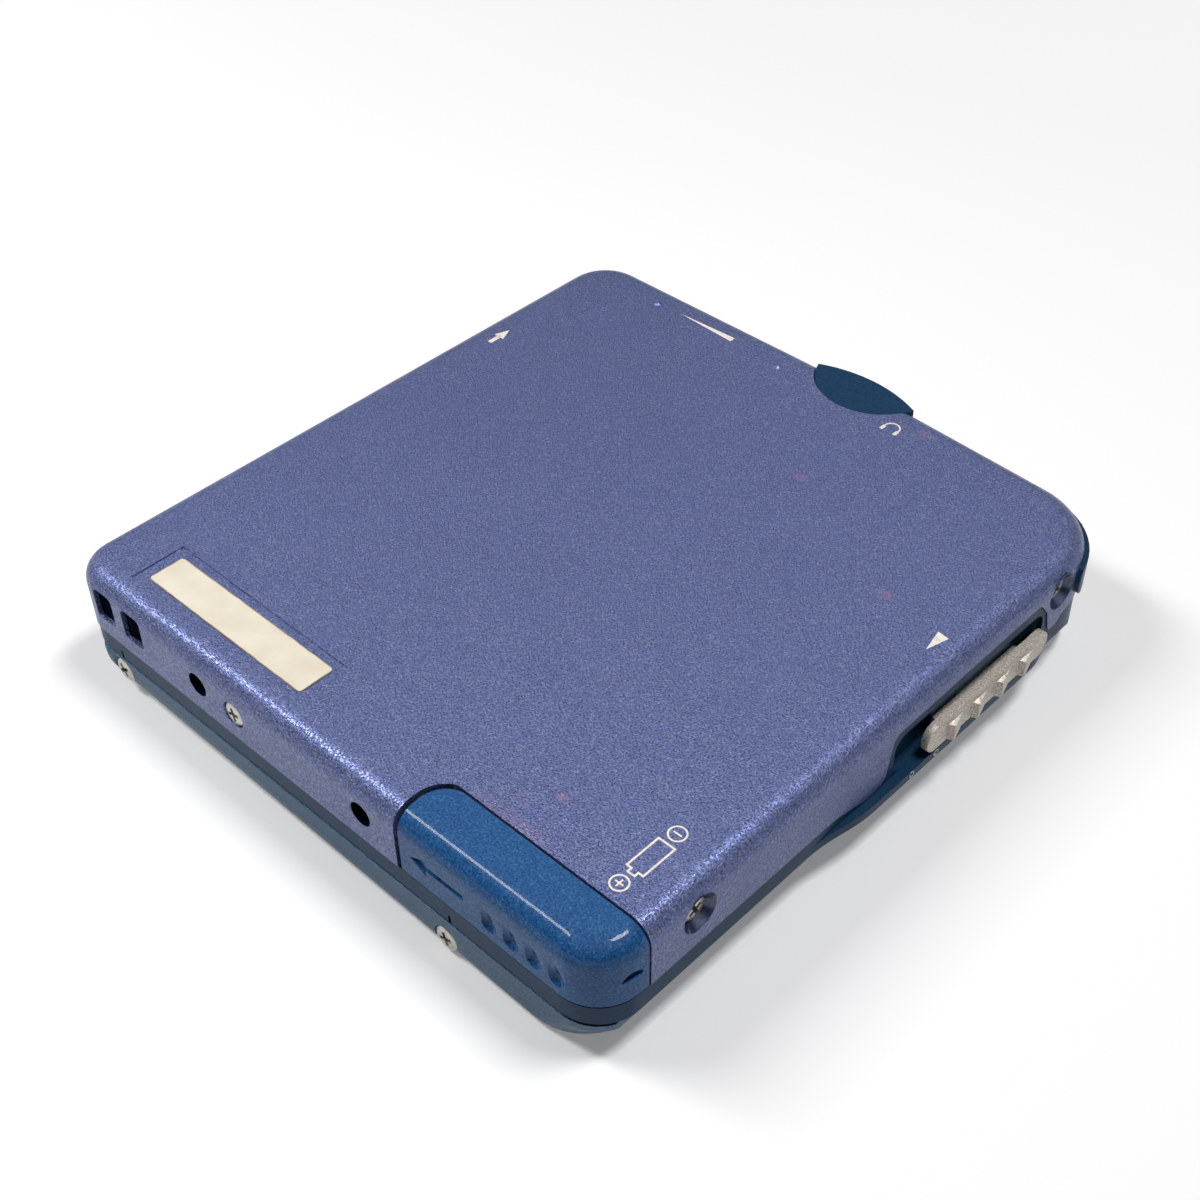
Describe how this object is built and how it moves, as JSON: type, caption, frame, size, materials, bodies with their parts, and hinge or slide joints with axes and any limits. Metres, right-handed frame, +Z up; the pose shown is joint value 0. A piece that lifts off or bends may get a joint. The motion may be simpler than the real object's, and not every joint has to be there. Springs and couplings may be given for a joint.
{
  "type": "portable minidisc player",
  "caption": "Pocket disc player with a hinged lid, a tilting disc holder, a corner battery door, a sliding latch and side keys, closed and lying on its lid.",
  "frame": {"origin": "centre of the lid's flat outer face, which the player rests on, base side up", "axes": "+X towards the latch side, away from the lid hinge; +Y along the latch side, away from the battery door; +Z up, out of the base"},
  "size_m": [0.0779, 0.0815, 0.015],
  "materials": {
    "shell_paint": "satin metallic",
    "frame_plastic": "satin",
    "lid_paint": "satin metallic",
    "door_plastic": "gloss metallic",
    "key_plastic": "gloss",
    "slider_metal": "bead blasted",
    "steel": "satin",
    "screw_nickel": "satin",
    "black_plastic": "matte",
    "grey_plastic": "matte",
    "board": "solder mask",
    "chip": "matte",
    "gold": "satin",
    "rubber": "matte",
    "lens": "clear"
  },
  "bodies": {
    "lid": {"lid_shell": "lid_paint", "lid_brackets": "steel", "hinge_pins": "steel", "lid_screws": "screw_nickel", "latch_catch": "steel"},
    "holder": {"disc_holder": "steel", "holder_springs": "steel"},
    "player": {"base_shell": "shell_paint", "mid_frame": "frame_plastic", "shell_screws": "screw_nickel", "deck_plate": "steel", "deck_dampers": "rubber", "deck_screws": "screw_nickel", "circuit_board": "board", "board_chips": "chip", "headphone_jack": "black_plastic", "key_switches": "grey_plastic", "terminal_contacts": "gold", "spindle_motor": "steel", "sled_motor": "steel", "guide_rods": "steel", "battery_tray": "black_plastic", "battery_contact": "gold", "door_pin": "steel"},
    "turntable": {"turntable": "steel"},
    "lead_screw": {"lead_screw": "gold"},
    "sled": {"pickup_sled": "black_plastic", "objective_lens": "lens"},
    "door": {"battery_door": "door_plastic", "door_contact": "gold"},
    "slider": {"slider_knob": "slider_metal", "latch_hook": "steel"},
    "hold": {"hold_knob": "key_plastic"},
    "volume_down": {"volume_down_key": "key_plastic"},
    "volume_up": {"volume_up_key": "key_plastic"},
    "play": {"play_key": "key_plastic"},
    "back": {"back_key": "key_plastic"},
    "forward": {"forward_key": "key_plastic"}
  },
  "joints": [
    {"name": "lid_hinge", "type": "hinge", "parent": "lid", "child": "player", "pos_m": [-0.0365, 0, 0.0052], "axis": [0, -1, 0], "range_deg": [0, 40]},
    {"name": "holder_pivot", "type": "hinge", "parent": "lid", "child": "holder", "pos_m": [-0.03465, 0, 0.0036], "axis": [0, -1, 0], "range_deg": [0, 16]},
    {"name": "door_swing", "type": "hinge", "parent": "player", "child": "door", "pos_m": [0.016, -0.03825, 0.011], "axis": [0, 0, -1], "range_deg": [0, 95]},
    {"name": "open_slide", "type": "slide", "parent": "player", "child": "slider", "axis": [0, -1, 0], "range_m": [0, 0.0036], "stiffness_N_per_m": 250, "springref_m": -0.002},
    {"name": "hold_slide", "type": "slide", "parent": "player", "child": "hold", "axis": [0, 1, 0], "range_m": [0, 0.003]},
    {"name": "volume_down_push", "type": "slide", "parent": "player", "child": "volume_down", "axis": [0, -1, 0], "range_m": [0, 0.0004], "stiffness_N_per_m": 800, "springref_m": -0.0003},
    {"name": "volume_up_push", "type": "slide", "parent": "player", "child": "volume_up", "axis": [0, -1, 0], "range_m": [0, 0.0004], "stiffness_N_per_m": 800, "springref_m": -0.0003},
    {"name": "play_push", "type": "slide", "parent": "player", "child": "play", "axis": [0, -1, 0], "range_m": [0, 0.0004], "stiffness_N_per_m": 800, "springref_m": -0.0003},
    {"name": "back_push", "type": "slide", "parent": "player", "child": "back", "axis": [0, -1, 0], "range_m": [0, 0.0004], "stiffness_N_per_m": 800, "springref_m": -0.0003},
    {"name": "forward_push", "type": "slide", "parent": "player", "child": "forward", "axis": [0, -1, 0], "range_m": [0, 0.0004], "stiffness_N_per_m": 800, "springref_m": -0.0003},
    {"name": "disc_spin", "type": "hinge", "parent": "player", "child": "turntable", "pos_m": [0, 0, 0.0066], "axis": [0, 0, 1], "continuous": true},
    {"name": "sled_travel", "type": "slide", "parent": "player", "child": "sled", "axis": [0, -1, 0], "range_m": [0, 0.016]},
    {"name": "screw_turn", "type": "hinge", "parent": "player", "child": "lead_screw", "pos_m": [0.0116, -0.018, 0.0102], "axis": [0, 1, 0], "range_deg": [0, 1920]}
  ],
  "couplings": [
    {"joint": "holder_pivot", "follows": "lid_hinge", "ratio": 0.4},
    {"joint": "screw_turn", "follows": "sled_travel", "rad_per_m": 2094.4}
  ]
}
